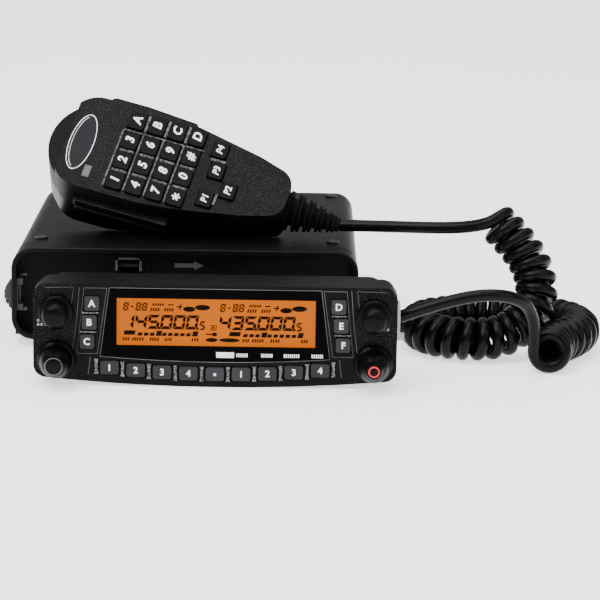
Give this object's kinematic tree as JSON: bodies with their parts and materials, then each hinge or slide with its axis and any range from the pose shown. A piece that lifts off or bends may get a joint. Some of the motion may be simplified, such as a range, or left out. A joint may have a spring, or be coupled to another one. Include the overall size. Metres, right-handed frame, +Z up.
{
  "type": "mobile transceiver",
  "caption": "Vehicle two-way radio: finned main unit with docking tray, detached control head with display, keys and knobs, hand microphone on a curly cord.",
  "frame": {"origin": "middle of the main unit's base, on the surface it stands on", "axes": "+X to the right seen from the front, +Y from the front tray to the back, +Z up"},
  "size_m": [0.2439, 0.2314, 0.0965],
  "materials": {
    "tray_plastic": "fine matt moulded",
    "cast_black": "satin black painted casting",
    "cover_paint": "satin grey-black paint",
    "screw_black": "blackened steel",
    "fan_plastic": "matt",
    "nickel": "nickel plated",
    "rubber_black": "matt rubber",
    "board_green": "solder mask",
    "tin_plate": "tinned sheet",
    "speaker_black": "paper and steel",
    "jack_plastic": "matt",
    "lever_grey": "matt",
    "head_plastic": "fine texture",
    "window_clear": "clear polished",
    "display_orange": "back-lit orange display",
    "clear_plastic": "clear plastic",
    "mic_plastic": "fine grain",
    "key_rubber": "silicone rubber with white characters",
    "talk_plastic": "matt",
    "badge_violet": "dark violet-grey with a silver edge",
    "cord_black": "glossy cord jacket",
    "key_grey": "matt grey keys",
    "knob_black": "gloss black"
  },
  "bodies": {
    "unit": {"front_tray": "tray_plastic", "chassis": "cast_black", "top_cover": "cover_paint", "cover_screws": "screw_black", "fan_frame": "fan_plastic", "antenna_socket": "nickel", "power_gland": "rubber_black", "rear_jacks": "nickel", "data_socket": "nickel", "main_board": "board_green", "shield_cans": "tin_plate", "speaker": "speaker_black", "panel_jack": "jack_plastic"},
    "fan": {"fan_rotor": "fan_plastic"},
    "lever": {"release_lever": "lever_grey"},
    "head": {"head_bezel": "head_plastic", "head_back": "head_plastic", "head_screws": "screw_black", "display_window": "window_clear", "display_panel": "display_orange", "head_board": "board_green", "mic_jack": "jack_plastic", "mic_plug": "clear_plastic", "cord_lead": "cord_black", "cord_coil": "cord_black", "cord_tail": "cord_black"},
    "mic": {"mic_front_shell": "mic_plastic", "mic_back_shell": "mic_plastic", "mic_keypad": "key_rubber", "mic_board": "board_green", "mic_capsule": "tin_plate", "mic_badge": "badge_violet", "hang_stud": "nickel", "mic_boot": "rubber_black"},
    "talk_bar": {"talk_bar": "talk_plastic"},
    "menu_key_a": {"menu_key_a": "key_grey"},
    "menu_key_b": {"menu_key_b": "key_grey"},
    "menu_key_c": {"menu_key_c": "key_grey"},
    "menu_key_d": {"menu_key_d": "key_grey"},
    "menu_key_e": {"menu_key_e": "key_grey"},
    "menu_key_f": {"menu_key_f": "key_grey"},
    "menu_key_g": {"menu_key_g": "key_grey"},
    "menu_key_h": {"menu_key_h": "key_grey"},
    "menu_key_i": {"menu_key_i": "key_grey"},
    "side_key_left_top": {"side_key_left_top": "key_grey"},
    "side_key_left_middle": {"side_key_left_middle": "key_grey"},
    "side_key_left_low": {"side_key_left_low": "key_grey"},
    "side_key_right_top": {"side_key_right_top": "key_grey"},
    "side_key_right_middle": {"side_key_right_middle": "key_grey"},
    "side_key_right_low": {"side_key_right_low": "key_grey"},
    "memory_key_one": {"memory_key_one": "key_rubber"},
    "memory_key_two": {"memory_key_two": "key_rubber"},
    "memory_key_three": {"memory_key_three": "key_rubber"},
    "memory_key_four": {"memory_key_four": "key_rubber"},
    "squelch_ring_left": {"squelch_ring_left": "knob_black"},
    "volume_knob_left": {"volume_knob_left": "knob_black"},
    "dial_knob_left": {"dial_knob_left": "knob_black"},
    "squelch_ring_right": {"squelch_ring_right": "knob_black"},
    "volume_knob_right": {"volume_knob_right": "knob_black"},
    "dial_knob_right": {"dial_knob_right": "knob_black"}
  },
  "joints": [
    {"name": "head_dock", "type": "slide", "parent": "unit", "child": "head", "axis": [-0.3195, 0.9476, 0], "range_m": [0, 0.04538]},
    {"name": "fan_spin", "type": "hinge", "parent": "unit", "child": "fan", "pos_m": [-0.044, 0.0646, 0.022], "axis": [0, 1, 0], "continuous": true},
    {"name": "lever_pull", "type": "slide", "parent": "unit", "child": "lever", "axis": [-1, 0, 0], "range_m": [0, 0.0015], "stiffness_N_per_m": 600},
    {"name": "mic_lift", "type": "slide", "parent": "head", "child": "mic", "axis": [0, 0, 1], "range_m": [0, 0.06]},
    {"name": "talk_press", "type": "slide", "parent": "mic", "child": "talk_bar", "axis": [0.2764, 0.6172, 0.7367], "range_m": [0, 0.001], "stiffness_N_per_m": 700},
    {"name": "squelch_left_turn", "type": "hinge", "parent": "head", "child": "squelch_ring_left", "pos_m": [-0.0465, -0.134, 0.029], "axis": [0, 1, 0], "range_deg": [-60, 210]},
    {"name": "volume_left_turn", "type": "hinge", "parent": "head", "child": "volume_knob_left", "pos_m": [-0.0465, -0.134, 0.029], "axis": [0, 1, 0], "range_deg": [-90, 180]},
    {"name": "dial_left_turn", "type": "hinge", "parent": "head", "child": "dial_knob_left", "pos_m": [-0.0465, -0.134, 0.0104], "axis": [0, 1, 0], "continuous": true},
    {"name": "squelch_right_turn", "type": "hinge", "parent": "head", "child": "squelch_ring_right", "pos_m": [0.0755, -0.134, 0.029], "axis": [0, 1, 0], "range_deg": [-60, 210]},
    {"name": "volume_right_turn", "type": "hinge", "parent": "head", "child": "volume_knob_right", "pos_m": [0.0755, -0.134, 0.029], "axis": [0, 1, 0], "range_deg": [-90, 180]},
    {"name": "dial_right_turn", "type": "hinge", "parent": "head", "child": "dial_knob_right", "pos_m": [0.0755, -0.134, 0.0104], "axis": [0, 1, 0], "continuous": true},
    {"name": "menu_key_a_press", "type": "slide", "parent": "head", "child": "menu_key_a", "axis": [0, 1, 0], "range_m": [0, 0.0007], "stiffness_N_per_m": 400},
    {"name": "menu_key_b_press", "type": "slide", "parent": "head", "child": "menu_key_b", "axis": [0, 1, 0], "range_m": [0, 0.0007], "stiffness_N_per_m": 400},
    {"name": "menu_key_c_press", "type": "slide", "parent": "head", "child": "menu_key_c", "axis": [0, 1, 0], "range_m": [0, 0.0007], "stiffness_N_per_m": 400},
    {"name": "menu_key_d_press", "type": "slide", "parent": "head", "child": "menu_key_d", "axis": [0, 1, 0], "range_m": [0, 0.0007], "stiffness_N_per_m": 400},
    {"name": "menu_key_e_press", "type": "slide", "parent": "head", "child": "menu_key_e", "axis": [0, 1, 0], "range_m": [0, 0.0007], "stiffness_N_per_m": 400},
    {"name": "menu_key_f_press", "type": "slide", "parent": "head", "child": "menu_key_f", "axis": [0, 1, 0], "range_m": [0, 0.0007], "stiffness_N_per_m": 400},
    {"name": "menu_key_g_press", "type": "slide", "parent": "head", "child": "menu_key_g", "axis": [0, 1, 0], "range_m": [0, 0.0007], "stiffness_N_per_m": 400},
    {"name": "menu_key_h_press", "type": "slide", "parent": "head", "child": "menu_key_h", "axis": [0, 1, 0], "range_m": [0, 0.0007], "stiffness_N_per_m": 400},
    {"name": "menu_key_i_press", "type": "slide", "parent": "head", "child": "menu_key_i", "axis": [0, 1, 0], "range_m": [0, 0.0007], "stiffness_N_per_m": 400},
    {"name": "side_key_left_top_press", "type": "slide", "parent": "head", "child": "side_key_left_top", "axis": [0, 1, 0], "range_m": [0, 0.0007], "stiffness_N_per_m": 400},
    {"name": "side_key_left_middle_press", "type": "slide", "parent": "head", "child": "side_key_left_middle", "axis": [0, 1, 0], "range_m": [0, 0.0007], "stiffness_N_per_m": 400},
    {"name": "side_key_left_low_press", "type": "slide", "parent": "head", "child": "side_key_left_low", "axis": [0, 1, 0], "range_m": [0, 0.0007], "stiffness_N_per_m": 400},
    {"name": "side_key_right_top_press", "type": "slide", "parent": "head", "child": "side_key_right_top", "axis": [0, 1, 0], "range_m": [0, 0.0007], "stiffness_N_per_m": 400},
    {"name": "side_key_right_middle_press", "type": "slide", "parent": "head", "child": "side_key_right_middle", "axis": [0, 1, 0], "range_m": [0, 0.0007], "stiffness_N_per_m": 400},
    {"name": "side_key_right_low_press", "type": "slide", "parent": "head", "child": "side_key_right_low", "axis": [0, 1, 0], "range_m": [0, 0.0007], "stiffness_N_per_m": 400},
    {"name": "memory_key_one_press", "type": "slide", "parent": "mic", "child": "memory_key_one", "axis": [-0.0274, 0.7713, -0.6359], "range_m": [0, 0.0006], "stiffness_N_per_m": 400},
    {"name": "memory_key_two_press", "type": "slide", "parent": "mic", "child": "memory_key_two", "axis": [-0.0274, 0.7713, -0.6359], "range_m": [0, 0.0006], "stiffness_N_per_m": 400},
    {"name": "memory_key_three_press", "type": "slide", "parent": "mic", "child": "memory_key_three", "axis": [-0.0274, 0.7713, -0.6359], "range_m": [0, 0.0006], "stiffness_N_per_m": 400},
    {"name": "memory_key_four_press", "type": "slide", "parent": "mic", "child": "memory_key_four", "axis": [-0.0274, 0.7713, -0.6359], "range_m": [0, 0.0006], "stiffness_N_per_m": 400}
  ]
}
